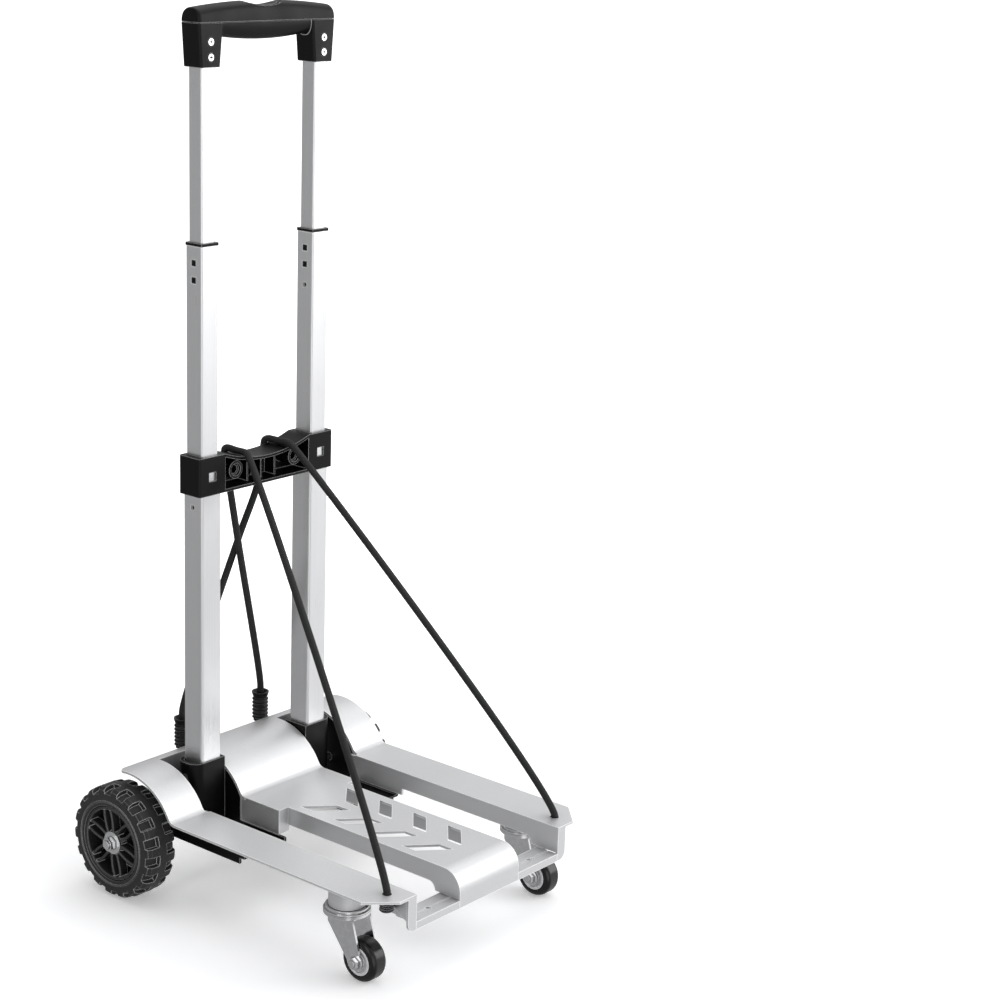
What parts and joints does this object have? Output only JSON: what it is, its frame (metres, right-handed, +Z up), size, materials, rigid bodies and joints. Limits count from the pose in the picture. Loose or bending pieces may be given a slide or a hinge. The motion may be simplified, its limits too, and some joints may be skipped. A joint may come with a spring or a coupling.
{
  "type": "folding luggage cart",
  "caption": "Folding luggage cart: pressed deck on big rear wheels and swivel casters, telescopic handle tower, crossbar and elastic tie-down cords.",
  "frame": {"origin": "on the floor, under the middle of the overall box, with the cart unfolded and the handle pulled out", "axes": "+Z up; +Y towards the tower and the rear wheels, so the load side faces -Y; X across the cart along the rear axle"},
  "size_m": [0.345, 0.383, 0.8351],
  "materials": {
    "tube_silver": "satin anodised",
    "deck_silver": "fine silver powder coat",
    "black_plastic": "satin, fine texture",
    "wheel_plastic": "matt moulded",
    "wheel_tyre": "matt charcoal",
    "caster_tyre": "glossy black",
    "caster_hub": "grey moulded",
    "zinc_steel": "bright zinc plate",
    "cord_elastic": "braided"
  },
  "bodies": {
    "tower": {"outer_tube_left": "tube_silver", "outer_tube_right": "tube_silver", "socket_left": "black_plastic", "socket_right": "black_plastic", "latch_pins": "zinc_steel", "crossbar": "black_plastic", "crossbar_panel": "black_plastic", "cord_left": "cord_elastic", "cord_right": "cord_elastic"},
    "deck": {"deck_plate": "deck_silver", "front_tie": "deck_silver", "tie_rivets": "zinc_steel", "hinge_bracket_left": "black_plastic", "hinge_bracket_right": "black_plastic", "pivot_pins": "zinc_steel", "axle": "zinc_steel", "axle_spacers": "zinc_steel", "axle_washers": "zinc_steel", "axle_nuts": "zinc_steel", "caster_boss_left": "deck_silver", "caster_boss_right": "deck_silver", "kingpins": "zinc_steel", "caster_race_left": "zinc_steel", "caster_race_right": "zinc_steel", "cord_plugs": "black_plastic", "cord_grip_left": "black_plastic", "cord_grip_right": "black_plastic", "cord_hooks": "black_plastic"},
    "wheel_left": {"tyre_left": "wheel_tyre", "rim_left": "wheel_plastic"},
    "wheel_right": {"tyre_right": "wheel_tyre", "rim_right": "wheel_plastic"},
    "caster_left": {"caster_fork_left": "zinc_steel", "caster_bolt_left": "zinc_steel"},
    "caster_right": {"caster_fork_right": "zinc_steel", "caster_bolt_right": "zinc_steel"},
    "caster_wheel_left": {"caster_hub_left": "caster_hub", "caster_tyre_left": "caster_tyre"},
    "caster_wheel_right": {"caster_hub_right": "caster_hub", "caster_tyre_right": "caster_tyre"},
    "mid_stage": {"mid_tube_left": "tube_silver", "mid_tube_right": "tube_silver", "mid_collar_left": "black_plastic", "mid_collar_right": "black_plastic", "mid_feet": "black_plastic"},
    "handle": {"inner_tube_left": "tube_silver", "inner_tube_right": "tube_silver", "inner_feet": "black_plastic", "handle_shell_top": "black_plastic", "handle_shell_bottom": "black_plastic", "handle_screws": "zinc_steel"},
    "release": {"release_button": "black_plastic", "release_bar": "black_plastic", "release_rods": "zinc_steel"},
    "inner_lock_left": {"inner_lock_left": "black_plastic"},
    "inner_lock_right": {"inner_lock_right": "black_plastic"},
    "mid_lock_left": {"mid_lock_left": "black_plastic"},
    "mid_lock_right": {"mid_lock_right": "black_plastic"}
  },
  "joints": [
    {"name": "deck_fold", "type": "hinge", "parent": "tower", "child": "deck", "pos_m": [0, 0.1115, 0.0735], "axis": [-1, 0, 0], "range_deg": [0, 90], "deforming": ["cord_left", "cord_right"]},
    {"name": "wheel_spin_left", "type": "hinge", "parent": "deck", "child": "wheel_left", "pos_m": [-0.149, 0.1365, 0.055], "axis": [1, 0, 0], "continuous": true},
    {"name": "wheel_spin_right", "type": "hinge", "parent": "deck", "child": "wheel_right", "pos_m": [0.149, 0.1365, 0.055], "axis": [1, 0, 0], "continuous": true},
    {"name": "caster_swivel_left", "type": "hinge", "parent": "deck", "child": "caster_left", "pos_m": [-0.123, -0.1295, 0.06], "axis": [0, 0, 1], "continuous": true},
    {"name": "caster_swivel_right", "type": "hinge", "parent": "deck", "child": "caster_right", "pos_m": [0.123, -0.1295, 0.06], "axis": [0, 0, 1], "continuous": true},
    {"name": "caster_spin_left", "type": "hinge", "parent": "caster_left", "child": "caster_wheel_left", "pos_m": [-0.123, -0.1515, 0.02], "axis": [1, 0, 0], "continuous": true},
    {"name": "caster_spin_right", "type": "hinge", "parent": "caster_right", "child": "caster_wheel_right", "pos_m": [0.123, -0.1515, 0.02], "axis": [1, 0, 0], "continuous": true},
    {"name": "mid_slide", "type": "slide", "parent": "tower", "child": "mid_stage", "axis": [0, 0, -1], "range_m": [0, 0.1915]},
    {"name": "handle_slide", "type": "slide", "parent": "mid_stage", "child": "handle", "axis": [0, 0, -1], "range_m": [0, 0.153]},
    {"name": "button_press", "type": "slide", "parent": "handle", "child": "release", "axis": [0, 0, -1], "range_m": [0, 0.004], "stiffness_N_per_m": 400},
    {"name": "inner_lock_slide_left", "type": "slide", "parent": "handle", "child": "inner_lock_left", "axis": [-1, 0, 0], "range_m": [0, 0.002]},
    {"name": "inner_lock_slide_right", "type": "slide", "parent": "handle", "child": "inner_lock_right", "axis": [1, 0, 0], "range_m": [0, 0.002]},
    {"name": "mid_lock_slide_left", "type": "slide", "parent": "mid_stage", "child": "mid_lock_left", "axis": [1, 0, 0], "range_m": [0, 0.002], "stiffness_N_per_m": 100},
    {"name": "mid_lock_slide_right", "type": "slide", "parent": "mid_stage", "child": "mid_lock_right", "axis": [-1, 0, 0], "range_m": [0, 0.002], "stiffness_N_per_m": 100}
  ],
  "couplings": [
    {"joint": "inner_lock_slide_left", "follows": "button_press", "ratio": 0.5},
    {"joint": "inner_lock_slide_right", "follows": "button_press", "ratio": 0.5}
  ]
}
